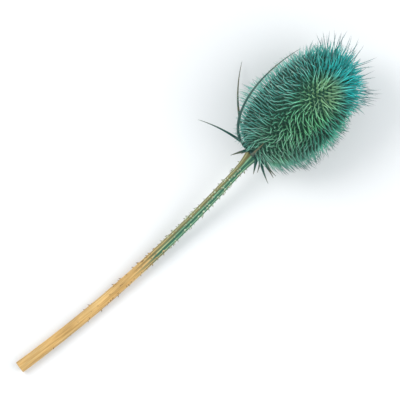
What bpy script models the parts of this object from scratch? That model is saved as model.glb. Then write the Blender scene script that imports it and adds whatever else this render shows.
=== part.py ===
"""A dried teasel seed head on its cut stem, lying on a flat surface.

Three natural pieces in one line: the ribbed, prickly stem, the whorl of long
bracts under the head, and the egg-shaped seed head with its spiral of spines.
Metres, +Z up, +X from the cut end to the head's tip, the origin on the surface
under the middle of the whole thing.
"""

import math
import random

import bmesh
import bpy
import numpy as np
from mathutils import Matrix, Vector

MM = 0.001

# Seed head: an egg turned about its own axis, from a small flat base to the crown
CORE_LENGTH = 65 * MM
CORE_RADIUS = 20.8 * MM
BASE_RADIUS = 7.5 * MM
EGG_SHAPE = 0.03  # how much fatter the half near the stem is
EGG_BLUNTNESS = 0.85  # 1 is an ellipse, and less makes both ends blunter
HEAD_TILT = math.radians(15)  # rise of the head's axis above the surface

# Spines: two for each lattice point, one on each triangle between the points
LATTICE_POINTS = 560
GOLDEN_ANGLE = math.pi * (3 - math.sqrt(5))
BASE_RIM_POINTS = 14
SPINE_AT_BASE = 6.5 * MM
SPINE_AT_MIDDLE = 7.2 * MM
SPINE_AT_CROWN = 14.5 * MM
SPINE_LEAN = 0.02  # share of the direction that points to the crown
SPINE_WANDER = 0.07
SPINE_MOST_BACK = 0.15  # the most that a spine points back to the stem
BRACT_CLEARANCE = 2.2 * MM  # no spine comes nearer to a bract's middle line
NECK_HEIGHT = 0.3  # share of the length where the broad foot ends
NECK_WIDTH = 0.26  # share of the foot's width

# Whorl of bracts: a disc between head and stem, with a bract on some of its sides
DISC_RADIUS = 6.8 * MM
DISC_THICKNESS = 2.4 * MM
DISC_SIDES = 24  # which face every 15 degrees, from straight down
BRACT_STEPS = 12
BRACT_WIDTH = 2.1 * MM
BRACT_THICKNESS = 1.2 * MM
BRACT_TIP = 0.6 * MM
# Each bract: the side of the disc that it grows from (0 down, 90 to +Y, 180 up),
# length in mm, how far it leans back to the stem at its root and at its tip, in
# degrees, and how soon it bends (1 evenly along it, less sooner)
BRACTS = (
    (15, 14, 38, 50, 1),
    (60, 46, -10, -52, 1),
    (105, 28, 4, 24, 1),
    (135, 75, 28, -108, 0.48),
    (150, 11, 34, 44, 1),
    (180, 20, -5, -72, 1),
    (210, 10, 34, 30, 1),
    (240, 13, 28, 10, 1),
    (270, 10, 12, 16, 1),
    (300, 13, 26, 4, 1),
    (330, 15, 38, 52, 1),
)

# Stem: flat on the surface near the cut, then bending up into the head's axis
STEM_LENGTH = 165 * MM
STEM_FLAT_LENGTH = 45 * MM
STEM_SLANT_AT_CUT = math.radians(-8)  # sideways, from +X
STEM_SLANT_AT_HEAD = math.radians(4)
STEM_CUT_RADIUS = 2.9 * MM
STEM_NECK_RADIUS = 2.1 * MM
STEM_FLARE_RADIUS = 3.7 * MM
STEM_FLARE_LENGTH = 13 * MM
STEM_RIBS = 8
RIB_DEPTH = 0.07
STEM_RINGS = 24
STEM_FLATTENING = 0.35 * MM  # how much of the lowest rib is pressed flat

PRICKLES = 66
PRICKLE_HEIGHT = 1.7 * MM
PRICKLE_RADIUS = 0.6 * MM
PRICKLE_ROOT = 1.0 * MM
PRICKLE_DROOP = 0.45

JOINT_GAP = 0.35 * MM  # between pieces that grow together
# Middle of the cut end, so that the box of the whole thing is centred on the origin
CUT_END = Vector((-121.86 * MM, 0.2 * MM, 0))

TEAL = (0.03, 0.20, 0.16, 1)
DEEP_TEAL = (0.02, 0.12, 0.11, 1)
STRAW = (0.60, 0.40, 0.17, 1)


def clear_scene():
    """Removes what the startup scene holds."""
    for obj in list(bpy.data.objects):
        bpy.data.objects.remove(obj)


def material(name, colour, roughness):
    made = bpy.data.materials.new(name)
    made.use_nodes = True
    shader = made.node_tree.nodes["Principled BSDF"]
    shader.inputs["Base Color"].default_value = colour
    shader.inputs["Roughness"].default_value = roughness
    shader.inputs["Metallic"].default_value = 0
    return made


def add_object(name, mesh, finish, placing):
    """Links a mesh as a named object, placed by its location and rotation."""
    mesh.materials.append(finish)
    obj = bpy.data.objects.new(name, mesh)
    obj.matrix_world = placing
    bpy.context.scene.collection.objects.link(obj)
    return obj


def mesh_of(bm, name):
    bmesh.ops.recalc_face_normals(bm, faces=bm.faces)
    mesh = bpy.data.meshes.new(name)
    bm.to_mesh(mesh)
    bm.free()
    return mesh


def egg_radius(turn):
    blunt = np.maximum(np.sin(turn), 0) ** EGG_BLUNTNESS
    return CORE_RADIUS * blunt * (1 + EGG_SHAPE * np.cos(turn))


def egg_profile(samples=2000):
    """Height and radius along the core, from the rim of its base to the crown.

    An ellipse with blunted ends, whose radius is a little larger on the stem's
    side, cut off where it is as wide as the base."""
    opening = np.linspace(0, math.pi / 2, samples)
    start = np.interp(BASE_RADIUS, egg_radius(opening), opening)
    turn = np.linspace(start, math.pi, samples)
    half_length = CORE_LENGTH / (1 + math.cos(start))
    height = half_length * (math.cos(start) - np.cos(turn))
    return height, egg_radius(turn)


def lattice():
    """Points on the core and the same points on a ball.

    The points turn by the golden angle and take equal shares of the surface. The
    ball gets them by the map that keeps angles, where the distance along the
    meridian divided by the radius is the ball's own."""
    height, radius = egg_profile()
    step = np.hypot(np.diff(height), np.diff(radius))
    middle = (radius[1:] + radius[:-1]) / 2
    area = np.concatenate([[0], np.cumsum(step * middle)])
    stretch = np.concatenate([[0], np.cumsum(step / np.maximum(middle, 1e-6))])
    widest = np.interp(radius.argmax(), np.arange(len(stretch)), stretch)
    share = (np.arange(LATTICE_POINTS) + 0.7) / LATTICE_POINTS
    at = np.interp(share, area / area[-1], np.arange(len(area)))
    turns = np.arange(LATTICE_POINTS) * GOLDEN_ANGLE
    rim = np.arange(BASE_RIM_POINTS) * 2 * math.pi / BASE_RIM_POINTS
    at = np.concatenate([np.zeros(BASE_RIM_POINTS), at])
    turns = np.concatenate([rim, turns])
    index = np.arange(len(height))
    h, r = np.interp(at, index, height), np.interp(at, index, radius)
    polar = 2 * np.arctan(np.exp(np.interp(at, index, stretch) - widest))
    on_core = np.stack([r * np.cos(turns), r * np.sin(turns), h], 1)
    on_ball = np.stack(
        [np.sin(polar) * np.cos(turns), np.sin(polar) * np.sin(turns), -np.cos(polar)], 1
    )
    return on_core, on_ball


def core_mesh():
    """The core as a closed net of triangles: the ball's convex hull, carried to the egg."""
    on_core, on_ball = lattice()
    bm = bmesh.new()
    for point in on_ball:
        bm.verts.new(point)
    bm.verts.ensure_lookup_table()
    bm.verts.index_update()
    bmesh.ops.convex_hull(bm, input=bm.verts)
    for vert in bm.verts:
        vert.co = on_core[vert.index]
    bmesh.ops.recalc_face_normals(bm, faces=bm.faces)
    return bm


def spine_length(height):
    """Longer from the base to the middle, and longest on the crown."""
    share = height / CORE_LENGTH
    low = SPINE_AT_BASE + (SPINE_AT_MIDDLE - SPINE_AT_BASE) * min(1, share / 0.4)
    crown = max(0, (share - 0.72) / 0.28) ** 1.5
    return low + (SPINE_AT_CROWN - low) * crown


def bract_spots():
    """Places along the middle lines of all the bracts, in the head's own frame."""
    spots = []
    for bract in BRACTS:
        path = [where for where, _, _ in bract_path(*bract)]
        for near, far in zip(path, path[1:]):
            spots += [near.lerp(far, share) for share in (0, 0.2, 0.4, 0.6, 0.8)]
    return np.array(spots)


def meets_bract(middle, way, length, spots):
    """Whether a spine comes too near to a bract, at any of five heights on it."""
    heights = np.linspace(0, length, 5)[:, None]
    spine = np.array(middle) + np.array(way) * heights
    gaps = np.linalg.norm(spine[:, None] - spots, axis=2)
    return gaps.min() < BRACT_CLEARANCE


def raise_spine(bm, face, draw, spots):
    """A broad foot on the whole triangle, a thin neck, and a point."""
    middle = face.calc_center_median()
    length = spine_length(middle.z) * draw.uniform(0.9, 1.08)
    wander = Vector([draw.uniform(-SPINE_WANDER, SPINE_WANDER) for _ in range(3)])
    way = (face.normal + Vector((0, 0, SPINE_LEAN)) + wander).normalized()
    way.z = max(way.z, -SPINE_MOST_BACK)
    way.normalize()
    if meets_bract(middle, way, length, spots):
        return
    bmesh.ops.inset_individual(bm, faces=[face], thickness=0.2 * MM)
    for vert in face.verts:
        vert.co = middle + (vert.co - middle) * NECK_WIDTH + way * length * NECK_HEIGHT
    point = bmesh.ops.poke(bm, faces=[face])["verts"][0]
    point.co = middle + way * length


def press_on_surface(bm, placing):
    """Bends up to the surface every point that would be below it."""
    back = placing.inverted()
    for vert in bm.verts:
        where = placing @ vert.co
        if where.z < 0:
            where.z = 0
            vert.co = back @ where


def seed_head(placing):
    draw = random.Random(7)
    bm = core_mesh()
    bm.faces.ensure_lookup_table()
    spiny = [face for face in bm.faces if face.calc_center_median().z > 0.1 * MM]
    spots = bract_spots()
    for face in spiny:
        raise_spine(bm, face, draw, spots)
    press_on_surface(bm, placing)
    mesh = mesh_of(bm, "seed_head")
    return add_object("seed_head", mesh, material("dyed_spines", TEAL, 0.7), placing)


def bract_path(side_deg, length_mm, root_deg, tip_deg, bends):
    """Points, ways and widths along one bract, in the head's own frame."""
    turn = math.radians(side_deg)
    out = Vector((math.cos(turn), math.sin(turn), 0))
    edge_way = Vector((-math.sin(turn), math.cos(turn), 0))
    start = -JOINT_GAP - DISC_THICKNESS / 2
    where = out * DISC_RADIUS * math.cos(math.pi / DISC_SIDES) + Vector((0, 0, start))
    for step in range(1, BRACT_STEPS + 1):
        share = step / BRACT_STEPS
        lean = math.radians(root_deg + (tip_deg - root_deg) * share**bends)
        way = out * math.cos(lean) - Vector((0, 0, math.sin(lean)))
        where = where + way * length_mm * MM / BRACT_STEPS
        wide = BRACT_TIP + (BRACT_WIDTH - BRACT_TIP) * (1 - share)
        thick = BRACT_TIP + (BRACT_THICKNESS - BRACT_TIP) * (1 - share)
        yield where, edge_way * wide / 2, way.cross(edge_way) * thick / 2


def grow_bract(bm, side, bract):
    """Extrudes one side of the disc along the bract's path to a point."""
    face = side
    for where, half_width, half_thickness in bract_path(*bract):
        face = bmesh.ops.extrude_discrete_faces(bm, faces=[face])["faces"][0]
        middle = face.calc_center_median()
        for vert in face.verts:
            offset = vert.co - middle
            across = math.copysign(1, offset.dot(half_width))
            through = math.copysign(1, offset.dot(half_thickness))
            vert.co = where + half_width * across + half_thickness * through


def involucral_bracts(placing):
    bm = bmesh.new()
    low = -JOINT_GAP - DISC_THICKNESS
    bmesh.ops.create_cone(
        bm,
        segments=DISC_SIDES,
        radius1=DISC_RADIUS,
        radius2=DISC_RADIUS,
        depth=DISC_THICKNESS,
        cap_ends=True,
        matrix=Matrix.Translation((0, 0, low + DISC_THICKNESS / 2))
        @ Matrix.Rotation(math.pi / DISC_SIDES, 4, "Z"),
    )
    sides = [face for face in bm.faces if abs(face.normal.z) < 0.5]
    for bract in BRACTS:
        turn = math.radians(bract[0])
        out = Vector((math.cos(turn), math.sin(turn), 0))
        side = max(sides, key=lambda face: face.normal.dot(out))
        grow_bract(bm, side, bract)
        sides.remove(side)
    press_on_surface(bm, placing)
    mesh = mesh_of(bm, "involucral_bracts")
    finish = material("dyed_bracts", DEEP_TEAL, 0.6)
    return add_object("involucral_bracts", mesh, finish, placing)


def stem_angles(along):
    """Rise and sideways slant of the stem at a distance from the cut end."""
    bend = max(0, along - STEM_FLAT_LENGTH) / (STEM_LENGTH - STEM_FLAT_LENGTH)
    slant = STEM_SLANT_AT_CUT + (STEM_SLANT_AT_HEAD - STEM_SLANT_AT_CUT) * along / STEM_LENGTH
    return HEAD_TILT * bend, slant


def stem_way(along):
    rise, slant = stem_angles(along)
    level = math.cos(rise)
    return Vector((level * math.cos(slant), level * math.sin(slant), math.sin(rise)))


def stem_radius(along):
    """Slims from the cut end to the neck, then flares under the head."""
    neck = STEM_CUT_RADIUS + (STEM_NECK_RADIUS - STEM_CUT_RADIUS) * along / STEM_LENGTH
    flare = max(0, 1 - (STEM_LENGTH - along) / STEM_FLARE_LENGTH) ** 2
    return neck + (STEM_FLARE_RADIUS - STEM_NECK_RADIUS) * flare


def stem_line(pieces=330):
    """The stem's centreline, added up from its short straight lengths."""
    low = STEM_CUT_RADIUS * (1 + RIB_DEPTH) - STEM_FLATTENING
    points = [CUT_END + Vector((0, 0, low))]
    piece = STEM_LENGTH / pieces
    for n in range(pieces):
        points.append(points[-1] + stem_way((n + 0.5) * piece) * piece)
    return points


def stem_frame(line, along):
    """Centre, way, side and up at a distance from the cut end."""
    place = along / STEM_LENGTH * (len(line) - 1)
    n = min(int(place), len(line) - 2)
    centre = line[n].lerp(line[n + 1], place - n)
    way = stem_way(along)
    side = Vector((0, 0, 1)).cross(way).normalized()
    return centre, way, side, way.cross(side)


def stem_body(line):
    """Rings of ribs and grooves, bridged, with both ends closed."""
    bm = bmesh.new()
    rings = []
    points = 2 * STEM_RIBS
    for n in range(STEM_RINGS + 1):
        along = STEM_LENGTH * n / STEM_RINGS
        centre, _, side, up = stem_frame(line, along)
        ring = []
        for k in range(points):
            turn = 2 * math.pi * k / points
            rib = 1 + RIB_DEPTH * (-1) ** k
            spoke = side * math.sin(turn) - up * math.cos(turn)
            ring.append(bm.verts.new(centre + spoke * stem_radius(along) * rib))
        rings.append(ring)
    for ring, following in zip(rings, rings[1:]):
        for k in range(points):
            after = (k + 1) % points
            bm.faces.new((ring[k], following[k], following[after], ring[after]))
    bm.faces.new(rings[0])
    bm.faces.new(rings[-1])
    return bm


def prickle_places():
    """Along the ribs, closer together near the head, a new rib each time."""
    draw = random.Random(11)
    for n in range(PRICKLES):
        share = ((n + 0.5) / PRICKLES) ** 0.7
        along = STEM_LENGTH * (0.08 + 0.84 * share) + draw.uniform(-1, 1) * MM
        rib = (3 * n) % STEM_RIBS
        lies_flat = rib == 0 and along < 1.6 * STEM_FLAT_LENGTH
        if not lies_flat:
            yield along, 2 * math.pi * rib / STEM_RIBS, draw.uniform(0.75, 1.1)


def prickle(line, along, turn, size):
    """A three-sided cone, rooted well inside the stem, leaning to the cut end."""
    centre, way, side, up = stem_frame(line, along)
    spoke = side * math.sin(turn) - up * math.cos(turn)
    lean = (spoke - way * PRICKLE_DROOP).normalized()
    height = PRICKLE_HEIGHT * size + PRICKLE_ROOT
    root = centre + spoke * (stem_radius(along) - PRICKLE_ROOT)
    turned = lean.to_track_quat("Z", "Y").to_matrix().to_4x4()
    bm = bmesh.new()
    bmesh.ops.create_cone(
        bm,
        segments=3,
        radius1=PRICKLE_RADIUS,
        radius2=0,
        depth=height,
        cap_ends=True,
        matrix=Matrix.Translation(root + lean * height / 2) @ turned,
    )
    bmesh.ops.remove_doubles(bm, verts=bm.verts, dist=1e-6)
    return mesh_of(bm, "prickle")


def flatten_underside(bm):
    """Cuts the lowest rib level with the surface and closes the cut."""
    geometry = bm.verts[:] + bm.edges[:] + bm.faces[:]
    cut = bmesh.ops.bisect_plane(
        bm, geom=geometry, plane_co=(0, 0, 0), plane_no=(0, 0, -1), clear_outer=True
    )
    edges = [item for item in cut["geom_cut"] if isinstance(item, bmesh.types.BMEdge)]
    bmesh.ops.holes_fill(bm, edges=edges, sides=0)


def stem(line):
    finish = material("dyed_stem", STRAW, 0.65)
    body = add_object("stem", mesh_of(stem_body(line), "stem"), finish, Matrix())
    spikes = bpy.data.collections.new("prickles")
    bpy.context.scene.collection.children.link(spikes)
    for along, turn, size in prickle_places():
        spike = bpy.data.objects.new("prickle", prickle(line, along, turn, size))
        spikes.objects.link(spike)
    union = body.modifiers.new("prickles", "BOOLEAN")
    union.operation = "UNION"
    union.operand_type = "COLLECTION"
    union.collection = spikes
    union.solver = "EXACT"
    graph = bpy.context.evaluated_depsgraph_get()
    joined = bpy.data.meshes.new_from_object(body.evaluated_get(graph))
    body.modifiers.clear()
    for spike in list(spikes.objects):
        bpy.data.objects.remove(spike)
    bpy.data.collections.remove(spikes)
    bm = bmesh.new()
    bm.from_mesh(joined)
    flatten_underside(bm)
    body.data = mesh_of(bm, "stem")
    body.data.materials.clear()
    body.data.materials.append(finish)
    return body


def main():
    clear_scene()
    line = stem_line()
    way = stem_way(STEM_LENGTH)
    base = line[-1] + way * (DISC_THICKNESS + 2 * JOINT_GAP)
    turned = Matrix.Rotation(math.pi / 2 - HEAD_TILT, 4, "Y")
    placing = Matrix.Translation(base) @ turned
    stem(line)
    involucral_bracts(placing)
    seed_head(placing)


main()
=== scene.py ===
"""A dried, dyed teasel seed head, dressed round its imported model.

The head, the bracts under it and the stem are worked out as surfaces that stand in
the places of the model's plain solids. Metres, +Z up, +X from the cut end of the
stem to the tip of the head, and the floor at z = 0.
"""

import math

import bpy
import numpy as np
from bpy.props import FloatProperty, FloatVectorProperty, IntProperty, PointerProperty
from bpy.types import Operator, Panel, PropertyGroup
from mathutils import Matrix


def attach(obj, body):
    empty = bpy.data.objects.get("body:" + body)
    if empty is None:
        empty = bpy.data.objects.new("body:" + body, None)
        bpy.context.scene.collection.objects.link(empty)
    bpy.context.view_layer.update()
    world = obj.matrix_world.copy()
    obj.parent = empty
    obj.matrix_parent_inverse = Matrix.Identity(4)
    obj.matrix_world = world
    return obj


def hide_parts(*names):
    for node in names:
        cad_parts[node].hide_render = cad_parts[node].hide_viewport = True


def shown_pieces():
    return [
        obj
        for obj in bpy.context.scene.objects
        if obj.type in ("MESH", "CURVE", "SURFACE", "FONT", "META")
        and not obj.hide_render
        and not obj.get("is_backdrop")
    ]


bl_info = {
    "name": "Teasel Seed Head",
    "version": (1, 0, 0),
    "blender": (4, 5, 0),
    "location": "View3D > Sidebar > Teasel",
    "description": "Grows a dyed teasel head, its bracts and its stem on the packed model",
    "category": "Add Mesh",
}

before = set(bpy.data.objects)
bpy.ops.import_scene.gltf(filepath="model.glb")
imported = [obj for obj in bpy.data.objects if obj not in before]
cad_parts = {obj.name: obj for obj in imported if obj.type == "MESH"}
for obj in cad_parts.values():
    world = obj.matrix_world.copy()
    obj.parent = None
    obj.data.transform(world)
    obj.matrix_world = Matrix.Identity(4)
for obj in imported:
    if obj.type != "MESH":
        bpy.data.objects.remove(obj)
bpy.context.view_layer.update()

MM = 0.001
GOLDEN_ANGLE = math.pi * (3 - math.sqrt(5))

# How the three pieces stand to each other, as in the model
CUT_END = np.array([-121.86, 0.2, 0]) * MM
HEAD_TILT = math.radians(15)
EGG_SHAPE = 0.03
EGG_BLUNTNESS = 0.85
DISC_RADIUS = 6.8 * MM
DISC_THICKNESS = 2.4 * MM
JOINT_GAP = 0.35 * MM
STEM_FLAT_LENGTH = 45 * MM
STEM_SLANT_AT_CUT = math.radians(-8)
STEM_SLANT_AT_HEAD = math.radians(4)
STEM_FLARE_LENGTH = 13 * MM
STEM_FLATTENING = 0.35 * MM
RIB_DEPTH = 0.07

# Each bract: turn about the axis (0 down, 90 to +Y, 180 up), length in mm, how far
# it leans back to the stem at its root and at its tip, in degrees, and how soon it
# bends (1 evenly along it, less sooner)
BRACTS = (
    (15, 14, 38, 50, 1),
    (60, 46, -10, -52, 1),
    (105, 28, 4, 24, 1),
    (135, 75, 28, -108, 0.48),
    (150, 11, 34, 44, 1),
    (180, 20, -5, -72, 1),
    (210, 10, 34, 30, 1),
    (240, 13, 28, 10, 1),
    (270, 10, 12, 16, 1),
    (300, 13, 26, 4, 1),
    (330, 15, 38, 52, 1),
)
MODEL_BRACT_STEPS = 12
BRACT_ROOT = 1.2 * MM  # how far each bract starts inside the ring
BRACT_CLEARANCE = 1.1 * MM  # no awn comes nearer to a bract's middle line

# Middle of the patch of thin dye, in the head's own frame (x down, z to the crown)
PALE_PATCH = (-18 * MM, -4 * MM, 51 * MM)
# Where the upper awns part, how much they lean away, and how far off that is half done
PARTING_SPOT = (-18 * MM, -1 * MM, 48 * MM)
PARTING_LEAN = 0.75
PARTING_REACH = 7 * MM

# The awns: how many are long, how deep their scales root, how far their ways and
# bends stray, and how many waves comb them
LONG_SHARE = 0.25
SCALE_ROOT = 1.2 * MM
AWN_LEAN = 0.02  # towards the crown
AWN_WANDER = 0.16
AWN_MOST_BACK = 0.15  # no awn's way goes further back to the stem than this
AWN_BEND = 0.28
COMBED_BEND = 2.5
COMBING_WAVES = 8
COMBING_STRENGTH = 0.065

# Hairs on each edge of a scale, and how thick they are
HAIRS_AN_EDGE = 5
HAIR_RADIUS = 0.055 * MM

# The prickles: how they crowd towards the head, how deep they root, how far they lie
# back for each millimetre out, and how near to the floor they may come
PRICKLE_CROWDING = 0.42
PRICKLE_ROOT = 0.35 * MM
PRICKLE_SLOPE = 0.55
PRICKLE_CLEARANCE = 0.05 * MM

# Below these heights the points are pressed softly to the floor
SPINE_SOFTNESS = 0.6 * MM
BRACT_SOFTNESS = 0.3 * MM
STEM_SOFTNESS = 0.25 * MM

# Rows along the surfaces and points round them
CORE_ROWS, CORE_POINTS = 120, 144
STEM_ROWS, STEM_POINTS = 420, 112
RING_POINTS = 120
CORE_SHARE = 0.985  # how thick the dressed receptacle is next to the model's

PICTURE_TURN = math.radians(44.4)  # the head's axis in the picture, up from level
LIGHTS_AIM = np.array([0.03, 0, 0.02])

# Sections across a scale or a bract, in shares of its width: an open keeled boat,
# and the round awn that it narrows to. The corners run the same way round in both.
BOAT = np.array([(-0.5, 0.3), (-0.3, -0.12), (0, -0.34), (0.3, -0.12), (0.5, 0.3), (0, -0.02)])
AWN = 0.5 * np.array([(-1, 0), (-0.7, -0.7), (0, -1), (0.7, -0.7), (1, 0), (0, 1)])
BOAT_MARGIN = (1.0, 0.2, 0.0, 0.2, 1.0, 0.4)  # how near each corner is to the pale margin
CORNERS = len(BOAT)


def size(name, description, default, **more):
    return FloatProperty(
        name=name, description=description, default=default, unit="LENGTH", precision=5, **more
    )


def colour(name, description, default):
    return FloatVectorProperty(
        name=name, description=description, default=default, subtype="COLOR", min=0, max=1
    )


class TeaselHeadSettings(PropertyGroup):
    core_length: size("Core length", "Receptacle from base to crown", 65 * MM)
    core_radius: size("Core radius", "Receptacle at its widest", 20.8 * MM)
    base_radius: size("Base radius", "Flat of the receptacle on the stem", 7.5 * MM)
    scales: IntProperty(name="Scales", description="Awned scales on the head", default=1850)
    awn_at_base: size("Awns at base", "How far the lowest awns stand out", 6.5 * MM)
    awn_at_middle: size("Awns at middle", "How far the side awns stand out", 7.2 * MM)
    awn_at_crown: size("Awns at crown", "How far the top awns stand out", 14.5 * MM)
    scale_width: size("Scale width", "Boat-shaped foot of each awn", 1.9 * MM)
    awn_width: size("Awn width", "Awn just above its foot", 0.52 * MM)
    low_dye: colour("Low dye", "Scales near the stem", (0.055, 0.38, 0.22))
    middle_dye: colour("Middle dye", "Scales round the middle", (0.14, 0.56, 0.25))
    thin_dye: colour("Thin dye", "The patch where straw shows through", (0.30, 0.54, 0.24))
    side_dye: colour("Side dye", "Scales on the side that the dye ran to", (0.022, 0.42, 0.37))
    crown_dye: colour("Crown dye", "Scales at the tip", (0.010, 0.58, 0.56))
    # Pale awn colour: thin dye, and also the painted highlight on the awns
    pale_awn_and_highlight: colour("Pale awn", "Outer halves of awns with thin dye", (0.44, 0.71, 0.60))
    dark_awn: colour("Dark awn", "Long awns of the crown", (0.03, 0.11, 0.12))
    bare_tip: colour("Bare tip", "Awn points that took little dye", (0.36, 0.28, 0.29))
    # The receptacle's colours are kept near black as painted shade in the gaps between the scales
    core_shade_dark: colour("Core dark", "Receptacle between the scales", (0.006, 0.04, 0.022))
    core_shade_light: colour("Core light", "Lightest specks between the scales", (0.015, 0.09, 0.055))
    # Hair colours kept dark as painted shade in the gaps between the scales
    hair_dark: colour("Hair dark", "Darkest hairs of the scales", (0.02, 0.16, 0.12))
    hair_light: colour("Hair light", "Lightest hairs of the scales", (0.12, 0.30, 0.22))


class TeaselBractSettings(PropertyGroup):
    width: size("Bract width", "Bract at its root", 2.1 * MM)
    thickness: size("Bract thickness", "Keel to inner face, at the root", 1.2 * MM)
    dye: colour("Bract dye", "Bracts where the dye took", (0.02, 0.085, 0.07))
    bare: colour("Bare bract", "Dry bract that shows through", (0.20, 0.15, 0.07))


class TeaselStemSettings(PropertyGroup):
    length: size("Stem length", "Cut end to the foot of the head", 165 * MM)
    cut_radius: size("Cut radius", "Stem at the cut end", 2.9 * MM)
    neck_radius: size("Neck radius", "Stem at its thinnest", 2.1 * MM)
    flare_radius: size("Flare radius", "Stem where it meets the bracts", 3.7 * MM)
    ribs: IntProperty(name="Ribs", description="Ribs round the stem", default=8)
    prickles: IntProperty(name="Prickles", description="Prickles on the ribs", default=560)
    dye_reach: size("Dye reach", "How far below the head the dye goes", 76 * MM)
    # Dyed grooves darker and ribs paler: partly dye held in the grooves, partly painted shade and
    # painted highlight
    groove_dye_and_shade: colour("Groove dye", "Dyed stem in its grooves", (0.004, 0.125, 0.085))
    rib_dye_and_highlight: colour("Rib dye", "Dyed stem on its ribs", (0.20, 0.42, 0.24))
    prickle_root: colour("Prickle root", "Pale foot of the prickles", (0.60, 0.72, 0.50))
    prickle_tip: colour("Prickle tip", "Brown points of the prickles", (0.12, 0.075, 0.035))
    # Olive grooves darker and ribs paler: partly dye held in the grooves, partly painted shade and
    # painted highlight
    olive_groove_and_shade: colour("Olive groove", "Grooves that took little dye", (0.15, 0.15, 0.06))
    olive_rib_and_highlight: colour("Olive rib", "Ribs that took little dye", (0.33, 0.33, 0.16))
    straw: colour("Straw", "Bare stem", (0.60, 0.36, 0.12))
    pale_straw: colour("Pale straw", "Lightest streaks of the bare stem", (0.77, 0.54, 0.23))
    pith: colour("Pith", "Soft middle of the cut end", (0.72, 0.62, 0.42))


class TeaselStageSettings(PropertyGroup):
    floor: colour("Floor", "Plain pale floor", (0.82, 0.82, 0.815))
    key_power: FloatProperty(
        name="Key light", description="Soft light from the upper left", default=7, unit="POWER"
    )
    fill_power: FloatProperty(
        name="Fill light", description="Weaker light from the lower right", default=4, unit="POWER"
    )
    camera_height: size("Camera height", "Camera above the floor", 3000 * MM)
    picture_share: FloatProperty(
        name="Picture share",
        description="Share of the picture's side that the object takes",
        default=0.92,
        subtype="FACTOR",
    )


def unit(arrows):
    return arrows / np.linalg.norm(arrows, axis=-1, keepdims=True)


def smooth_step(value, low, high):
    share = np.clip((value - low) / (high - low), 0, 1)
    return share * share * (3 - 2 * share)


def turns(count):
    """Even angles once round, from 0."""
    return np.arange(count) * 2 * math.pi / count


def turned_points(height, radius, turn, poles, bulge=1.0):
    """Points of a shape turned about z: its rings, then a pole at each end.

    bulge says how many times as wide it is at each turn."""
    x = radius[:, None] * np.cos(turn) * bulge
    y = radius[:, None] * np.sin(turn) * bulge
    z = np.repeat(height[:, None], len(turn), 1)
    rings = np.stack([x, y, z], -1).reshape(-1, 3)
    return np.concatenate([rings, [(0, 0, pole) for pole in poles]])


def rest_on_floor(points, softness):
    """Squeezes what is lower than softness into the space above the floor.

    Below that height z becomes softness * exp(z / softness - 1), which meets the
    untouched part with the same slope and never reaches the floor."""
    low = points[..., 2] < softness
    squeezed = softness * np.exp(points[..., 2] / softness - 1)
    points[..., 2] = np.where(low, squeezed, points[..., 2])
    return points


def horn_faces(copies, rings, corners):
    """Faces of closed horns: walls between rings, a cap on the root, a fan to the tip.

    Each horn's points are its rings, from the root up, and then its tip."""
    first = np.arange(copies)[:, None, None] * (rings * corners + 1)
    corner = np.arange(corners)
    after = (corner + 1) % corners
    ring = np.arange(rings - 1)[:, None] * corners
    walls = [ring + corner, ring + after, ring + corners + after, ring + corners + corner]
    last = (rings - 1) * corners
    fan = [last + corner, last + after, np.full(corners, rings * corners)]
    return [
        (first + np.stack(walls, -1).reshape(1, -1, 4)).reshape(-1, 4),
        (first + np.stack(fan, -1)[None]).reshape(-1, 3),
        (first + corner[::-1][None, None]).reshape(-1, corners),
    ]


def horn_points(centres, sides, faces, across, tips):
    """Points of horns: each ring is its section's corners laid out on two arrows.

    centres, sides and faces are (copies, rings, 3), across is (copies, rings,
    corners, 2) and tips is (copies, 3)."""
    rings = centres[:, :, None] + sides[:, :, None] * across[..., :1]
    rings = rings + faces[:, :, None] * across[..., 1:]
    return np.concatenate([rings.reshape(len(centres), -1, 3), tips[:, None]], 1)


def spread(values, corners, tip, copies):
    """One value for each point of the horns, from one for each ring and one for the tip."""
    return np.tile([*np.repeat(values, corners), tip], copies)


def sheet_faces(rings, corners):
    """Faces of a closed skin: rings joined in order, with a pole at both ends.

    The points are the rings, then the first pole, then the last."""
    corner = np.arange(corners)
    after = (corner + 1) % corners
    ring = np.arange(rings - 1)[:, None] * corners
    walls = [ring + corner, ring + after, ring + corners + after, ring + corners + corner]
    last = (rings - 1) * corners
    pole = np.full(corners, rings * corners)
    return [
        np.stack(walls, -1).reshape(-1, 4),
        np.stack([after, corner, pole], -1),
        np.stack([last + corner, last + after, pole + 1], -1),
    ]


def add_piece(name, points, faces, values, finish, node):
    """Makes a smooth mesh from arrays and fastens it to the frame.

    values holds, for each attribute, one number or one arrow for each point."""
    mesh = bpy.data.meshes.new(name)
    points = points.reshape(-1, 3)
    mesh.vertices.add(len(points))
    mesh.vertices.foreach_set("co", points.ravel())
    mesh.loops.add(sum(group.size for group in faces))
    mesh.loops.foreach_set("vertex_index", np.concatenate([group.ravel() for group in faces]))
    corners = np.concatenate([np.full(len(group), group.shape[1]) for group in faces])
    mesh.polygons.add(len(corners))
    mesh.polygons.foreach_set("loop_start", np.cumsum(corners) - corners)
    mesh.polygons.foreach_set("use_smooth", np.ones(len(corners), bool))
    mesh.update(calc_edges=True)
    mesh.validate()
    for key, numbers in values.items():
        is_arrow = numbers.ndim == 2
        layer = mesh.attributes.new(key, "FLOAT_VECTOR" if is_arrow else "FLOAT", "POINT")
        layer.data.foreach_set("vector" if is_arrow else "value", numbers.ravel())
    mesh.materials.append(finish)
    piece = bpy.data.objects.new(name, mesh)
    bpy.context.scene.collection.objects.link(piece)
    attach(piece, "root")
    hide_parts(node)


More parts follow.
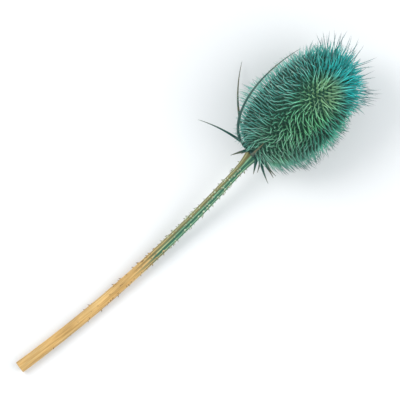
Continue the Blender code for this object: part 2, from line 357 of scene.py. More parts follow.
class Recipe:
    """A material made of nodes. Each call adds one and gives its output socket."""

    def __init__(self, name):
        self.material = bpy.data.materials.new(name)
        self.material.use_nodes = True
        self.tree = self.material.node_tree
        self.shader = self.tree.nodes["Principled BSDF"]

    def feed(self, socket, value):
        if isinstance(value, bpy.types.NodeSocket):
            self.tree.links.new(value, socket)
        elif socket.type == "RGBA":
            socket.default_value = (*value[:3], 1)
        else:
            socket.default_value = value

    def read(self, name, output="Fac"):
        node = self.tree.nodes.new("ShaderNodeAttribute")
        node.attribute_name = name
        return node.outputs[output]

    def stretch(self, vector, scale):
        node = self.tree.nodes.new("ShaderNodeMapping")
        self.feed(node.inputs["Vector"], vector)
        self.feed(node.inputs["Scale"], scale)
        return node.outputs["Vector"]

    def part_of(self, vector, axis):
        node = self.tree.nodes.new("ShaderNodeSeparateXYZ")
        self.feed(node.inputs[0], vector)
        return node.outputs[axis]

    def noise(self, vector, scale, detail):
        node = self.tree.nodes.new("ShaderNodeTexNoise")
        self.feed(node.inputs["Vector"], vector)
        self.feed(node.inputs["Scale"], scale)
        self.feed(node.inputs["Detail"], detail)
        self.feed(node.inputs["Roughness"], 0.55)
        return node.outputs["Fac"]

    def maths(self, operation, first, second):
        node = self.tree.nodes.new("ShaderNodeMath")
        node.operation = operation
        self.feed(node.inputs[0], first)
        self.feed(node.inputs[1], second)
        return node.outputs[0]

    def plus(self, first, second):
        return self.maths("ADD", first, second)

    def times(self, first, second):
        return self.maths("MULTIPLY", first, second)

    def larger(self, first, second):
        return self.maths("MAXIMUM", first, second)

    def swing(self, noise, reach):
        """Noise, which lies about a half, made to lie about zero and reach times as wide."""
        return self.times(self.maths("SUBTRACT", noise, 0.5), reach)

    def between(self, value, low, high, to_low=0, to_high=1):
        """The share of the way from low to high, eased, and carried to another range."""
        node = self.tree.nodes.new("ShaderNodeMapRange")
        node.interpolation_type = "SMOOTHSTEP"
        numbers = (value, low, high, to_low, to_high)
        for number, key in zip(numbers, ("Value", "From Min", "From Max", "To Min", "To Max")):
            self.feed(node.inputs[key], number)
        return node.outputs[0]

    def distance(self, vector, spot):
        node = self.tree.nodes.new("ShaderNodeVectorMath")
        node.operation = "DISTANCE"
        self.feed(node.inputs[0], vector)
        self.feed(node.inputs[1], spot)
        return node.outputs["Value"]

    def ramp(self, value, *stops):
        node = self.tree.nodes.new("ShaderNodeValToRGB")
        self.feed(node.inputs["Fac"], value)
        elements = node.color_ramp.elements
        while len(elements) < len(stops):
            elements.new(1)
        for element, (position, tint) in zip(elements, stops):
            element.position = position
            element.color = (*tint[:3], 1)
        return node.outputs["Color"]

    def mix(self, share, first, second):
        node = self.tree.nodes.new("ShaderNodeMix")
        node.data_type = "RGBA"
        self.feed(node.inputs["Factor"], share)
        first_colour, second_colour = (socket for socket in node.inputs if socket.type == "RGBA")
        self.feed(first_colour, first)
        self.feed(second_colour, second)
        return next(socket for socket in node.outputs if socket.type == "RGBA")

    def bright(self, tint, value):
        node = self.tree.nodes.new("ShaderNodeHueSaturation")
        self.feed(node.inputs["Color"], tint)
        self.feed(node.inputs["Value"], value)
        return node.outputs["Color"]

    def bump(self, height, distance, strength=1.0):
        node = self.tree.nodes.new("ShaderNodeBump")
        self.feed(node.inputs["Height"], height)
        self.feed(node.inputs["Distance"], distance)
        self.feed(node.inputs["Strength"], strength)
        self.feed(self.shader.inputs["Normal"], node.outputs["Normal"])

    def finish(self, tint, roughness, specular=0.5):
        self.feed(self.shader.inputs["Base Color"], tint)
        self.feed(self.shader.inputs["Roughness"], roughness)
        self.feed(self.shader.inputs["Specular IOR Level"], specular)
        return self.material


def egg_profile(head, samples=2000):
    """Height and radius along the receptacle, from the rim of its base to the crown.

    An ellipse with blunter ends, sin(turn) ** EGG_BLUNTNESS wide, and a little
    wider on the stem's side. It is cut off where it is as wide as the base."""

    def radius_at(turn):
        blunt = np.sin(turn) ** EGG_BLUNTNESS
        return head.core_radius * blunt * (1 + EGG_SHAPE * np.cos(turn))

    opening = np.linspace(0, math.pi / 2, samples)
    start = np.interp(head.base_radius, radius_at(opening), opening)
    turn = np.minimum(np.linspace(start, math.pi, samples), math.pi - 1e-9)
    half_length = head.core_length / (1 + math.cos(start))
    return half_length * (math.cos(start) - np.cos(turn)), radius_at(turn)


def golden_lattice(head):
    """Places, outward arrows and crownward arrows of the scales on the egg.

    Each place turns by the golden angle from the one before, and all take equal
    shares of the surface, so they fall into the spirals of a real head."""
    height, radius = egg_profile(head)
    index = np.arange(len(height))
    step = np.hypot(np.diff(height), np.diff(radius))
    area = np.concatenate([[0], np.cumsum(step * (radius[1:] + radius[:-1]) / 2)])
    share = (np.arange(head.scales) + 0.5) / head.scales
    at = np.interp(share, area / area[-1], index)
    along = np.stack([np.gradient(radius), np.gradient(height)], -1)
    slope = unit(np.stack([np.interp(at, index, along[:, k]) for k in (0, 1)], -1))
    turn = np.arange(head.scales) * GOLDEN_ANGLE
    spoke = np.stack([np.cos(turn), np.sin(turn)], -1)
    from_axis = np.interp(at, index, radius)[:, None]
    places = np.column_stack([spoke * from_axis, np.interp(at, index, height)])
    outward = np.column_stack([spoke * slope[:, 1:], -slope[:, 0]])
    crownward = np.column_stack([spoke * slope[:, :1], slope[:, 1]])
    return places, outward, crownward


def awn_reach(head, height, draw):
    """How far each awn stands out: more from base to middle, and most on the crown.

    From the base it grows evenly to the middle's reach at 0.4 of the height. Above
    0.72 it goes on to the crown's as a power of 1.5. One in four awns is long, and
    the others keep only a part of that. The second array says how far out of the
    crown's pile each stands, from 0 to 1."""
    share = height / head.core_length
    low = head.awn_at_base + (head.awn_at_middle - head.awn_at_base) * np.minimum(1, share / 0.4)
    crown = np.maximum(0, (share - 0.72) / 0.28) ** 1.5
    count = len(height)
    is_long = draw.uniform(0, 1, count) < LONG_SHARE
    kept = np.where(is_long, draw.uniform(0.9, 1.25, count), draw.uniform(0.05, 0.4, count))
    low = low * np.where(is_long, draw.uniform(1.0, 1.15, count), draw.uniform(0.72, 1.0, count))
    reach = low + (head.awn_at_crown - low) * crown * kept
    return reach, np.minimum(1, crown * kept)


def combing(places, draw):
    """A slow drift of the awns' ways over the surface, as if they were combed in
    patches: the sum of COMBING_WAVES waves of arrows, each 12 to 40 mm long."""
    drift = 0
    for _ in range(COMBING_WAVES):
        wave = unit(draw.normal(0, 1, 3)) * 2 * math.pi / (draw.uniform(12, 40) * MM)
        swell = np.sin(places @ wave + draw.uniform(0, 6))
        drift = drift + swell[:, None] * draw.normal(0, COMBING_STRENGTH, 3)
    return drift


def parting(places, outward):
    """A lean of the upper awns away from the spot on top where they part.

    With aside the arrow from that spot to the awn's place, laid on the surface, it is
    PARTING_LEAN * aside / (length of aside + PARTING_REACH), and fades to none at the
    flanks."""
    aside = places - PARTING_SPOT
    aside = aside - outward * (aside * outward).sum(1)[:, None]
    facing = outward @ (-math.cos(HEAD_TILT), 0, math.sin(HEAD_TILT))
    share = np.maximum(0, facing) / (np.linalg.norm(aside, axis=1) + PARTING_REACH)
    return PARTING_LEAN * share[:, None] * aside


def stem_line(stem, samples=331):
    """Centres and ways of the stem at even distances from the cut end.

    The way rises from level, after the flat length, to the head's tilt, and slants
    evenly from one side to the other. The centres add up its short steps."""
    along = np.linspace(0, stem.length, samples)

    def way_at(along):
        bend = np.maximum(0, along - STEM_FLAT_LENGTH) / (stem.length - STEM_FLAT_LENGTH)
        rise = HEAD_TILT * bend
        slant = STEM_SLANT_AT_CUT + (STEM_SLANT_AT_HEAD - STEM_SLANT_AT_CUT) * along / stem.length
        level = np.cos(rise)
        return np.stack([level * np.cos(slant), level * np.sin(slant), np.sin(rise)], -1)

    middles = (along[1:] + along[:-1]) / 2
    steps = way_at(middles) * (along[1] - along[0])
    low = stem.cut_radius * (1 + RIB_DEPTH) - STEM_FLATTENING
    start = CUT_END + (0, 0, low)
    centres = np.concatenate([[start], start + np.cumsum(steps, 0)])
    return along, centres, way_at(along)


def head_to_world(stem, points):
    """Carries points from the head's own frame (z along its axis, x down) to the world."""
    _, centres, ways = stem_line(stem)
    base = centres[-1] + ways[-1] * (DISC_THICKNESS + 2 * JOINT_GAP)
    rise, level = math.sin(HEAD_TILT), math.cos(HEAD_TILT)
    turned = np.array([(rise, 0, level), (0, 1, 0), (-level, 0, rise)])
    return points @ turned.T + base


def spine_finish(head):
    recipe = Recipe("dyed_spines")
    place = recipe.read("place", "Vector")
    along = recipe.read("along")
    draw = recipe.read("draw")
    zone = recipe.noise(place, 70, 2)
    height = recipe.maths("DIVIDE", recipe.part_of(place, "Z"), head.core_length)
    across = recipe.part_of(place, "Y")

    # Dye by height, then to both flanks, then the patch where it is thin
    dye = recipe.ramp(
        recipe.plus(height, recipe.swing(zone, 0.35)),
        (0.0, head.low_dye),
        (0.3, head.middle_dye),
        (0.68, head.middle_dye),
        (0.88, head.crown_dye),
        (1.0, head.crown_dye),
    )
    wavy = recipe.plus(across, recipe.swing(zone, 14 * MM))
    dye = recipe.mix(recipe.between(wavy, -2 * MM, 12 * MM, 0, 0.95), dye, head.side_dye)
    dye = recipe.mix(recipe.between(wavy, -10 * MM, -20 * MM, 0, 0.6), dye, head.side_dye)
    from_patch = recipe.distance(place, PALE_PATCH)
    dye = recipe.mix(recipe.between(from_patch, 15 * MM, 5 * MM, 0, 0.85), dye, head.thin_dye)

    # Painted shade on the roots, where the scales hide each other, but less so in the patch and on
    # the crown
    painted_root_shade = recipe.between(along, 0.1, 0.6, 0.08, 1.3)
    in_patch = recipe.between(from_patch, 19 * MM, 7 * MM, 0, 0.55)
    on_crown = recipe.between(height, 0.75, 0.95, 0, 0.6)
    tint = recipe.bright(dye, recipe.larger(painted_root_shade, recipe.larger(in_patch, on_crown)))
    tint = recipe.bright(tint, recipe.between(draw, 0, 1, 0.55, 1.3))

    # Pale margins and outer halves, partly where the dye was washed out and partly painted
    # highlight, most at +Y, the side the key light comes from, and low down
    washed_and_lit = recipe.between(across, 2 * MM, 18 * MM, 0.4, 1.0)
    washed_and_lit = recipe.times(washed_and_lit, recipe.between(across, -6 * MM, -16 * MM, 1.0, 0.35))
    washed_and_lit = recipe.larger(washed_and_lit, recipe.between(height, 0.2, 0.6, 1.0, 0.1))
    washed_and_lit = recipe.times(washed_and_lit, recipe.between(height, 0.75, 0.95, 1.0, 0.45))
    margin = recipe.times(recipe.read("margin"), recipe.between(along, 0.05, 0.5, 0.25, 0.3))
    tint = recipe.mix(recipe.times(margin, washed_and_lit), tint, head.pale_awn_and_highlight)
    outer = recipe.between(along, 0.3, 0.7)
    pale = recipe.times(outer, recipe.between(draw, 0.45, 0.8, 0.15, 0.95))
    tint = recipe.mix(recipe.times(pale, washed_and_lit), tint, head.pale_awn_and_highlight)

    # Dark outer halves of the crown's long awns and of those at -Y, then bare points
    crown_awn = recipe.between(recipe.read("stands_out"), 0.1, 0.4)
    outer = recipe.between(along, 0.35, 0.6, 0, 0.9)
    tint = recipe.mix(recipe.times(crown_awn, outer), tint, head.dark_awn)
    far_side = recipe.between(across, -9 * MM, -18 * MM, 0, 0.7)
    outer = recipe.between(along, 0.45, 0.85)
    tint = recipe.mix(recipe.times(far_side, outer), tint, head.dark_awn)
    tint = recipe.mix(recipe.between(along, 0.75, 1.0, 0, 0.8), tint, head.bare_tip)
    recipe.bump(recipe.noise(place, 1800, 2), 0.05 * MM, 0.4)
    return recipe.finish(tint, 0.5, specular=0.35)


def receptacle_finish(head):
    recipe = Recipe("receptacle")
    place = recipe.read("place", "Vector")
    speckle = recipe.noise(place, 900, 4)
    # Painted shade: dark receptacle seen in the gaps between the scales, with lighter specks
    tint = recipe.ramp(speckle, (0.3, head.core_shade_dark), (0.7, head.core_shade_light))
    recipe.bump(speckle, 0.3 * MM)
    return recipe.finish(tint, 0.9)


def hair_finish(head):
    recipe = Recipe("scale_hairs")
    # Hairs darkened, painted shade where they lie in the gaps between the scales
    tint = recipe.ramp(recipe.read("draw"), (0.0, head.hair_dark), (1.0, head.hair_light))
    return recipe.finish(tint, 0.6)


def bract_finish(bracts):
    recipe = Recipe("dyed_bracts")
    along = recipe.read("along")
    draw = recipe.read("draw")
    place = recipe.read("place", "Vector")
    patch = recipe.noise(place, 220, 3)
    worn = recipe.plus(recipe.times(along, 0.45), recipe.times(draw, 0.4))
    worn = recipe.plus(worn, recipe.swing(patch, 1.0))
    tint = recipe.mix(recipe.between(worn, 0.25, 0.95), bracts.dye, bracts.bare)
    recipe.bump(recipe.noise(place, 1500, 3), 0.1 * MM, 0.6)
    return recipe.finish(tint, 0.55, specular=0.4)


def stem_finish(stem):
    recipe = Recipe("dyed_stem")
    straight = recipe.read("straight", "Vector")
    rib = recipe.read("rib")
    inner = recipe.read("inner")
    fibres = recipe.noise(recipe.stretch(straight, (1, 1, 0.03)), 1600, 4)
    blotch = recipe.noise(recipe.stretch(straight, (1, 1, 0.25)), 160, 3)
    straw = recipe.ramp(
        fibres,
        (0.25, tuple(0.55 * value for value in stem.straw)),
        (0.45, stem.straw),
        (0.7, stem.pale_straw),
    )
    straw = recipe.bright(straw, recipe.between(blotch, 0.25, 0.75, 0.75, 1.15))

    # Teal, and olive at +Y, with paler ribs and darker grooves: partly dye held in the grooves,
    # partly painted highlight on the ribs and painted shade in the grooves
    on_rib = recipe.between(rib, -0.1, 0.95)
    dyed = recipe.mix(on_rib, stem.groove_dye_and_shade, stem.rib_dye_and_highlight)
    olive = recipe.mix(on_rib, stem.olive_groove_and_shade, stem.olive_rib_and_highlight)
    across = recipe.part_of(straight, "Y")
    dyed = recipe.mix(recipe.between(across, 0.3 * MM, 0.9 * MM), dyed, olive)
    dyed = recipe.bright(dyed, recipe.between(fibres, 0.25, 0.75, 0.75, 1.25))

    # The dye's ragged end, which runs further down in the grooves
    reach = recipe.plus(recipe.part_of(straight, "Z"), recipe.swing(blotch, 50 * MM))
    reach = recipe.plus(reach, recipe.times(rib, -7 * MM))
    edge = stem.length - stem.dye_reach
    tint = recipe.mix(recipe.between(reach, edge - 12 * MM, edge + 14 * MM, 0, 0.94), straw, dyed)

    # Rim and pith of the cut end
    cut = recipe.ramp(
        recipe.plus(inner, recipe.swing(fibres, 0.2)),
        (0.0, stem.straw),
        (0.3, tuple(0.6 * value for value in stem.straw)),
        (0.45, stem.pith),
        (1.0, stem.pith),
    )
    tint = recipe.mix(recipe.between(inner, 0.02, 0.08), tint, cut)
    recipe.bump(fibres, 0.12 * MM, 0.7)
    return recipe.finish(tint, 0.5, specular=0.25)


def prickle_finish(stem):
    recipe = Recipe("stem_prickles")
    along = recipe.read("along")
    dyed = recipe.read("dyed")
    root = recipe.mix(dyed, stem.straw, stem.prickle_root)
    tint = recipe.mix(recipe.between(along, 0.25, 0.7), root, stem.prickle_tip)
    return recipe.finish(tint, 0.5, specular=0.3)


def clear_of_bracts(root, path):
    """Which of the awns pass every bract's middle line at more than BRACT_CLEARANCE,
    looked at in five places along each: root + path(share)."""
    lines = bract_curves(60)[0].reshape(-1, 3)
    is_clear = np.ones(len(root), bool)
    for share in (0, 0.25, 0.5, 0.75, 1):
        spot = root + path(share)
        is_clear &= np.linalg.norm(spot[:, None] - lines, axis=2).min(1) > BRACT_CLEARANCE
    return is_clear


def awned_scales(head):
    """Points of all the scales, and the middle lines and frames that their hairs need.

    Each scale is a keeled boat that narrows to a round awn. Its middle line is
    root + reach * (v * way + v * v * bend / 2), with v from 0 at the root, sunk in
    the receptacle, to 1 at the tip. The way is the outward arrow with a chance
    stray, the combing and the parting added. The bend is an arrow of chance length
    along the surface, with stronger combing added. The width is a bell curve for
    the boat plus a tapering awn."""
    draw = np.random.default_rng(7)
    places, outward, crownward = golden_lattice(head)
    count = len(places)
    wander = draw.normal(0, AWN_WANDER, (count, 3)) + combing(places, draw)
    way = unit(outward + (0, 0, AWN_LEAN) + wander + parting(places, outward))
    way[:, 2] = np.maximum(way[:, 2], -AWN_MOST_BACK)
    way = unit(way)
    reach, stands_out = awn_reach(head, places[:, 2], draw)
    reach = reach + SCALE_ROOT
    up_bend = draw.normal(0, AWN_BEND, (count, 1))
    side_bend = draw.normal(0, AWN_BEND, (count, 1))
    bend = crownward * up_bend + np.cross(crownward, outward) * side_bend
    bend = bend + COMBED_BEND * combing(places, draw)
    root = places - way * SCALE_ROOT
    kept = clear_of_bracts(root, lambda v: reach[:, None] * (way * v + 0.5 * bend * v**2))
    way, bend, root, reach, crownward = (part[kept] for part in (way, bend, root, reach, crownward))
    copies, rings = len(way), 8
    v = (np.arange(rings) / rings) ** 1.15

    def middle(v):
        curve = way[:, None] * v[:, None] + 0.5 * bend[:, None] * v[:, None] ** 2
        return root[:, None] + reach[:, None, None] * curve

    def frames(v):
        heading = unit(way[:, None] + bend[:, None] * v[:, None])
        side = unit(np.cross(crownward[:, None], heading))
        return side, np.cross(heading, side)

    side, face = frames(v)
    boat = np.exp(-((v / 0.22) ** 2))
    width = head.scale_width * boat + head.awn_width * (1 - v) ** 0.6
    section = BOAT * boat[:, None, None] + AWN * (1 - boat)[:, None, None]
    across = np.broadcast_to(section * width[:, None, None], (copies, rings, CORNERS, 2))
    points = horn_points(middle(v), side, face, across, middle(np.ones(1))[:, 0])
    return points, middle, frames, v, stands_out[kept], draw


class TEASEL_OT_receptacle(Operator):
    """Turn the egg-shaped receptacle about its axis, closed at base and crown"""

    bl_idname = "teasel.receptacle"
    bl_label = "Receptacle"

    def execute(self, context):
        head = context.scene.teasel_head
        height, radius = egg_profile(head, CORE_ROWS)
        radius = radius * CORE_SHARE
        height = np.concatenate([[0.0, 0.0], height[:-1]])
        radius = np.concatenate([[0.3 * head.base_radius, 0.7 * head.base_radius], radius[:-1]])
        local = turned_points(height, radius, turns(CORE_POINTS), (0, head.core_length))
        points = head_to_world(context.scene.teasel_stem, local)
        faces = sheet_faces(len(height), CORE_POINTS)
        values = {"place": local}
        finish = receptacle_finish(head)
        add_piece("receptacle", points, faces, values, finish, "seed_head")
        return {"FINISHED"}


class TEASEL_OT_spines(Operator):
    """Grow the awned scales over the receptacle"""

    bl_idname = "teasel.spines"
    bl_label = "Awned scales"

    def execute(self, context):
        head = context.scene.teasel_head
        local, _, _, v, stands_out, draw = awned_scales(head)
        copies, rings = len(local), len(v)
        points = rest_on_floor(head_to_world(context.scene.teasel_stem, local), SPINE_SOFTNESS)
        luck = draw.uniform(0, 1, copies)
        points_each = rings * CORNERS + 1
        values = {
            "along": spread(v, CORNERS, 1.0, copies),
            "draw": np.repeat(luck, points_each),
            "stands_out": np.repeat(stands_out, points_each),
            "place": local.reshape(-1, 3),
            "margin": np.tile([*np.tile(BOAT_MARGIN, rings), 0.0], copies),
        }
        faces = horn_faces(copies, rings, CORNERS)
        finish = spine_finish(head)
        add_piece("awned_scales", points, faces, values, finish, "seed_head")
        return {"FINISHED"}


class TEASEL_OT_hairs(Operator):
    """Set fine stiff hairs along both edges of each scale"""

    bl_idname = "teasel.hairs"
    bl_label = "Scale hairs"

    def execute(self, context):
        head = context.scene.teasel_head
        _, middle, frames, _, _, draw = awned_scales(head)
        v = np.repeat(np.linspace(0.18, 0.72, HAIRS_AN_EDGE), 2)
        edge = np.where(np.arange(len(v)) % 2, 1.0, -1.0)
        side, face = frames(v)
        heading = np.cross(side, face)
        start = middle(v)
        copies = start.shape[0] * start.shape[1]
        shape = (*start.shape[:2], 1)
        stray = draw.uniform(-0.35, 0.35, start.shape)
        arrow = unit(side * edge[:, None] + heading * draw.uniform(0.3, 1.1, shape) + stray)
        arrow = arrow.reshape(copies, 3)
        start = start.reshape(copies, 3)
        tips = start + arrow * (draw.uniform(0.7, 1.5, (copies, 1)) * MM)
        off_the_hairs = (0.31, 0.55, 0.77)
        first = unit(np.cross(arrow, off_the_hairs))
        second = np.cross(arrow, first)
        corners = 3
        turn = turns(corners)
        across = HAIR_RADIUS * np.stack([np.cos(turn), np.sin(turn)], -1)[None, None]
        across = np.broadcast_to(across, (copies, 1, corners, 2))
        local = horn_points(start[:, None], first[:, None], second[:, None], across, tips)
        points = rest_on_floor(head_to_world(context.scene.teasel_stem, local), SPINE_SOFTNESS)
        luck = draw.uniform(0, 1, copies)
        values = {"draw": np.repeat(luck, corners + 1)}
        faces = horn_faces(copies, 1, corners)[1:]
        finish = hair_finish(head)
        add_piece("scale_hairs", points, faces, values, finish, "seed_head")
        return {"FINISHED"}


def bract_curves(samples):
    """Middle lines and frames of the bracts in the head's own frame.

    Each leans back by an angle that goes from its root's to its tip's as a power of
    the share of its length. The middle line adds up short steps of that lean, out
    from the side of the disc."""
    turn, length, root, tip, bends = np.array(BRACTS, float).T
    turn, root, tip = np.radians(turn), np.radians(root), np.radians(tip)
    length = length * MM
    share = (np.arange(samples) + 0.5) / samples + 0.5 / MODEL_BRACT_STEPS
    lean = root[:, None] + (tip - root)[:, None] * share ** bends[:, None]
    spoke = np.stack([np.cos(turn), np.sin(turn), 0 * turn], -1)[:, None]
    side = np.stack([-np.sin(turn), np.cos(turn), 0 * turn], -1)[:, None]
    up = np.array([0, 0, 1.0])
    way = spoke * np.cos(lean)[..., None] - up * np.sin(lean)[..., None]
    steps = way * (length / samples)[:, None, None]
    start = spoke * (DISC_RADIUS - BRACT_ROOT) - up * (JOINT_GAP + DISC_THICKNESS / 2)
    middle = np.concatenate([start, start + spoke * BRACT_ROOT + np.cumsum(steps, 1)], 1)
    way = np.concatenate([way[:, :1], way], 1)
    side = np.broadcast_to(side, way.shape)
    return middle, side, np.cross(way, side)


class TEASEL_OT_bracts(Operator):
    """Grow the whorl of long keeled bracts and the ring that carries them"""

    bl_idname = "teasel.bracts"
    bl_label = "Involucral bracts"

    def execute(self, context):
        bracts = context.scene.teasel_bracts
        stem = context.scene.teasel_stem
        draw = np.random.default_rng(23)
        middle, side, face = bract_curves(40)
        copies, rings = len(middle), middle.shape[1] - 1
        v = np.arange(rings) / rings
        width = bracts.width * (1 - v) ** 0.75 + 0.1 * MM
        boat = np.exp(-((v / 0.8) ** 2))
        section = BOAT * boat[:, None, None] + 0.8 * AWN * (1 - boat)[:, None, None]
        across = np.broadcast_to(section * width[:, None, None], (copies, rings, CORNERS, 2))
        local = horn_points(
            middle[:, :-1], side[:, :-1], -face[:, :-1], across[..., ::-1, :], middle[:, -1]
        )
        points = rest_on_floor(head_to_world(stem, local), BRACT_SOFTNESS)
        luck = draw.uniform(0, 1, copies)
        values = {
            "along": spread(v, CORNERS, 1.0, copies),
            "draw": np.repeat(luck, rings * CORNERS + 1),
            "place": local.reshape(-1, 3),
        }
        finish = bract_finish(bracts)
        faces = horn_faces(copies, rings, CORNERS)
        add_piece("long_bracts", points, faces, values, finish, "involucral_bracts")
        self.ring(stem, finish)
        return {"FINISHED"}

    def ring(self, stem, finish):
        """The ring is a turned disc whose edge swells and shrinks in uneven waves.

        height and radius go from its lower face round the edge to its upper face."""
        turn = turns(RING_POINTS)
        bulge = 0.9 + 0.06 * np.cos(10 * turn) + 0.03 * np.cos(23 * turn + 1)
        height = np.array([-2.75, -2.75, -2.3, -1.55, -0.8, -0.35, -0.35]) * MM
        radius = np.array([0.4, 0.68, 0.84, 1.0, 0.98, 0.86, 0.4]) * DISC_RADIUS
        local = turned_points(height, radius, turn, (height[0], height[-1]), bulge)
        points = head_to_world(stem, local)
        values = {
            "place": local,
            "along": np.zeros(len(local)),
            "draw": np.full(len(local), 0.3),
        }
        faces = sheet_faces(len(height), len(turn))
        add_piece("bract_ring", points, faces, values, finish, "involucral_bracts")


def stem_frames(stem, along):
    """Centres, ways, sides and ups of the stem at these distances from the cut end."""
    even, centres, ways = stem_line(stem)
    centre = np.stack([np.interp(along, even, centres[:, k]) for k in range(3)], -1)
    way = unit(np.stack([np.interp(along, even, ways[:, k]) for k in range(3)], -1))
    side = unit(np.cross((0, 0, 1.0), way))
    return centre, way, side, np.cross(way, side)


def stem_radius(stem, along):
    """Tapers evenly from the cut to the neck, and flares as a square under the head."""
    neck = stem.cut_radius + (stem.neck_radius - stem.cut_radius) * along / stem.length
    flare = np.maximum(0, 1 - (stem.length - along) / STEM_FLARE_LENGTH) ** 2
    return neck + (stem.flare_radius - stem.neck_radius) * flare


def rib_height(stem, turn):
    """From -1 in the middle of a groove to 1 on a rib, with the ribs narrower."""
    return 2 * ((1 + np.cos(stem.ribs * turn)) / 2) ** 1.6 - 1


class TEASEL_OT_stem(Operator):
    """Carry the ribbed section along the stem and close its cut end.

    It is stem_radius * (1 + RIB_DEPTH * rib_height) wide, with a fine ripple added."""

    bl_idname = "teasel.stem"
    bl_label = "Stem"

    def execute(self, context):
        stem = context.scene.teasel_stem

        # Six rings over the hollowed cut, from the pith to the rim, and then the wall
        hollow = np.array([0.5, 0.45, 0.35, 0.12, 0.0, 0.0]) * MM
        wall = np.linspace(0.02 * MM, stem.length, STEM_ROWS)
        at = np.concatenate([hollow, wall])
        inward = np.concatenate([[0.15, 0.4, 0.62, 0.7, 0.82, 0.95], np.ones(STEM_ROWS)])
        inner = np.concatenate([[1, 0.8, 0.5, 0.4, 0.25, 0.1], np.zeros(STEM_ROWS)])

        turn = turns(STEM_POINTS)
        centre, _, side, up = stem_frames(stem, at)
        rib = np.broadcast_to(rib_height(stem, turn), (len(at), len(turn)))
        fine = 0.012 * np.cos(3 * stem.ribs * turn + 1)
        fine = fine + 0.008 * np.sin(90 * at / stem.length)[:, None]
        radius = stem_radius(stem, at)[:, None] * (1 + RIB_DEPTH * rib + fine) * inward[:, None]
        spoke = side[:, None] * np.sin(turn)[:, None] - up[:, None] * np.cos(turn)[:, None]
        points = (centre[:, None] + spoke * radius[..., None]).reshape(-1, 3)
        points = np.concatenate([points, [centre[0], centre[-1]]])
        points = rest_on_floor(points, STEM_SOFTNESS)
        reach = np.broadcast_to(at[:, None], radius.shape)
        straight = np.stack([radius * np.cos(turn), radius * np.sin(turn), reach], -1)
        straight = np.concatenate([straight.reshape(-1, 3), [(0, 0, at[0]), (0, 0, at[-1])]])
        values = {
            "straight": straight,
            "rib": np.concatenate([rib.ravel(), [0, 0]]),
            "inner": np.concatenate([np.repeat(inner, len(turn)), [1, 0]]),
        }
        faces = sheet_faces(len(at), len(turn))
        add_piece("ribbed_stem", points, faces, values, stem_finish(stem), "stem")
        return {"FINISHED"}


class TEASEL_OT_prickles(Operator):
    """Set the down-turned prickles on the stem's ribs, closer together near the head.

    Each is an oval horn that thins as (1 - v) ** 1.5, and at the share v of its
    height lies back by PRICKLE_SLOPE * height * v ** 1.6."""

    bl_idname = "teasel.prickles"
    bl_label = "Stem prickles"

    def execute(self, context):
        stem = context.scene.teasel_stem
        draw = np.random.default_rng(11)
        count = stem.prickles
        share = ((np.arange(count) + 0.5) / count) ** PRICKLE_CROWDING
        along = stem.length * (0.05 + 0.9 * share) + draw.uniform(-1.5, 1.5, count) * MM
        turn = draw.integers(0, stem.ribs, count) * 2 * math.pi / stem.ribs
        turn = turn + draw.uniform(-0.1, 0.1, count)
        centre, way, side, up = stem_frames(stem, along)
        spoke = side * np.sin(turn)[:, None] - up * np.cos(turn)[:, None]
        growth = draw.uniform(0.35, 1.0, count) ** 1.3
        root = centre + spoke * (stem_radius(stem, along)[:, None] - PRICKLE_ROOT)
        rings, corners = 4, 6
        v = np.arange(rings) / rings
        height = (0.35 + 1.5 * growth)[:, None] * MM
        middle = root[:, None] + spoke[:, None] * (height * v)[..., None]
        middle = middle - way[:, None] * (PRICKLE_SLOPE * height * v**1.6)[..., None]
        tip = root + spoke * height - way * PRICKLE_SLOPE * height
        angle = turns(corners)
        oval = np.stack([0.55 * np.cos(angle), 1.05 * np.sin(angle)], -1)
        taper = (1 - v) ** 1.5
        across = oval * (taper * (0.4 + 0.6 * growth[:, None]))[..., None, None] * MM
        around = np.cross(way, spoke)
        arrows = (count, rings, 3)
        points = horn_points(
            middle,
            np.broadcast_to(around[:, None], arrows),
            np.broadcast_to(way[:, None], arrows),
            across,
            tip,
        )
        keep = points[:, :, 2].min(1) > PRICKLE_CLEARANCE
        points, along = points[keep], along[keep]
        count = len(points)
        edge = stem.length - stem.dye_reach
        dyed = smooth_step(along, edge, edge + 20 * MM)
        values = {
            "along": spread(v, corners, 1.0, count),
            "dyed": np.repeat(dyed, rings * corners + 1),
        }
        faces = horn_faces(count, rings, corners)
        add_piece("stem_prickles", points, faces, values, prickle_finish(stem), "stem")
        return {"FINISHED"}


def shown_points():
    """Every point of the object's pieces, as one array."""
    parts = []
    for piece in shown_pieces():
        count = len(piece.data.vertices)
        points = np.empty(3 * count, np.float32)
        piece.data.vertices.foreach_get("co", points)
        parts.append(points.reshape(-1, 3))
    return np.concatenate(parts)


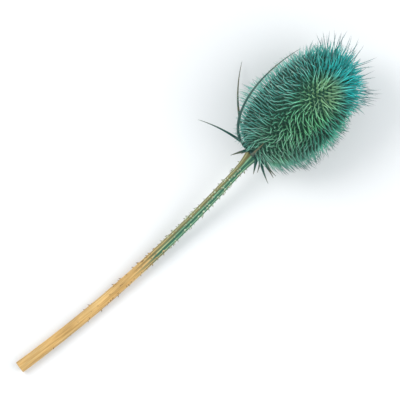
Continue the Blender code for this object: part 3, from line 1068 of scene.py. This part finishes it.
class TEASEL_OT_stage(Operator):
    """Lay the pale floor and set the soft lights and the camera that looks down"""

    bl_idname = "teasel.stage"
    bl_label = "Floor, lights and camera"

    def execute(self, context):
        stage = context.scene.teasel_stage
        self.floor(stage)
        self.light("key", (-0.25, 0.75, 0.95), 0.7, stage.key_power)
        self.light("fill", (0.45, -0.6, 0.7), 0.9, stage.fill_power)
        world = bpy.data.worlds.new("pale_room")
        world.use_nodes = True
        background = world.node_tree.nodes["Background"]
        background.inputs["Color"].default_value = (0.9, 0.95, 1, 1)
        background.inputs["Strength"].default_value = 0.85
        context.scene.world = world
        context.scene.view_settings.view_transform = "Standard"
        self.camera(context, stage)
        return {"FINISHED"}

    def floor(self, stage):
        half = 2.0
        mesh = bpy.data.meshes.new("floor")
        corners = [(-half, -half, 0), (half, -half, 0), (half, half, 0), (-half, half, 0)]
        mesh.from_pydata(corners, [], [(0, 1, 2, 3)])
        mesh.materials.append(Recipe("pale_floor").finish(stage.floor, 0.8))
        floor = bpy.data.objects.new("floor", mesh)
        bpy.context.scene.collection.objects.link(floor)
        floor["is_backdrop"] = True

    def light(self, name, where, across, power):
        lamp = bpy.data.lights.new(name, "AREA")
        lamp.shape = "DISK"
        lamp.size = across
        lamp.energy = power
        obj = bpy.data.objects.new(name, lamp)
        obj.location = where
        aim = LIGHTS_AIM - where
        from_z = math.acos(-aim[2] / np.linalg.norm(aim))
        obj.rotation_euler = (from_z, 0, math.atan2(aim[1], aim[0]) - math.pi / 2)
        bpy.context.scene.collection.objects.link(obj)

    def camera(self, context, stage):
        """Looks straight down, turned so that the head's axis runs up to the right."""
        level, rise = math.cos(PICTURE_TURN), math.sin(PICTURE_TURN)
        right = np.array([level, -rise])
        up = np.array([rise, level])
        points = shown_points()
        nearness = stage.camera_height / (stage.camera_height - points[:, 2])
        on_picture = points[:, :2] * nearness[:, None]
        spans = [on_picture @ right, on_picture @ up]
        middle = [(span.max() + span.min()) / 2 for span in spans]
        widest = max(np.ptp(span) for span in spans)
        lens = bpy.data.cameras.new("camera")
        lens.lens = lens.sensor_width * stage.camera_height * stage.picture_share / widest
        lens.clip_start = 0.05
        camera = bpy.data.objects.new("camera", lens)
        camera.location = (*(right * middle[0] + up * middle[1]), stage.camera_height)
        camera.rotation_euler = (0, 0, -PICTURE_TURN)
        context.scene.collection.objects.link(camera)
        context.scene.camera = camera


class TEASEL_PT_panel(Panel):
    """Lists the pieces of the seed head and their settings"""

    bl_label = "Teasel Seed Head"
    bl_idname = "TEASEL_PT_panel"
    bl_space_type = "VIEW_3D"
    bl_region_type = "UI"
    bl_category = "Teasel"

    def draw(self, context):
        for operator in OPERATORS:
            self.layout.operator(operator.bl_idname)
        for key in SETTINGS:
            settings = getattr(context.scene, key)
            box = self.layout.box()
            for name in settings.__annotations__:
                box.prop(settings, name)


SETTINGS = {
    "teasel_head": TeaselHeadSettings,
    "teasel_bracts": TeaselBractSettings,
    "teasel_stem": TeaselStemSettings,
    "teasel_stage": TeaselStageSettings,
}
OPERATORS = (
    TEASEL_OT_receptacle,
    TEASEL_OT_spines,
    TEASEL_OT_hairs,
    TEASEL_OT_bracts,
    TEASEL_OT_stem,
    TEASEL_OT_prickles,
    TEASEL_OT_stage,
)


def register():
    for settings in SETTINGS.values():
        bpy.utils.register_class(settings)
    for cls in (*OPERATORS, TEASEL_PT_panel):
        bpy.utils.register_class(cls)
    for key, settings in SETTINGS.items():
        setattr(bpy.types.Scene, key, PointerProperty(type=settings))


def unregister():
    for key in SETTINGS:
        delattr(bpy.types.Scene, key)
    for cls in (TEASEL_PT_panel, *reversed(OPERATORS)):
        bpy.utils.unregister_class(cls)
    for settings in reversed(SETTINGS.values()):
        bpy.utils.unregister_class(settings)


def main():
    register()
    bpy.ops.teasel.receptacle()
    bpy.ops.teasel.spines()
    bpy.ops.teasel.hairs()
    bpy.ops.teasel.bracts()
    bpy.ops.teasel.stem()
    bpy.ops.teasel.prickles()
    bpy.ops.teasel.stage()


if __name__ == "__main__":
    main()
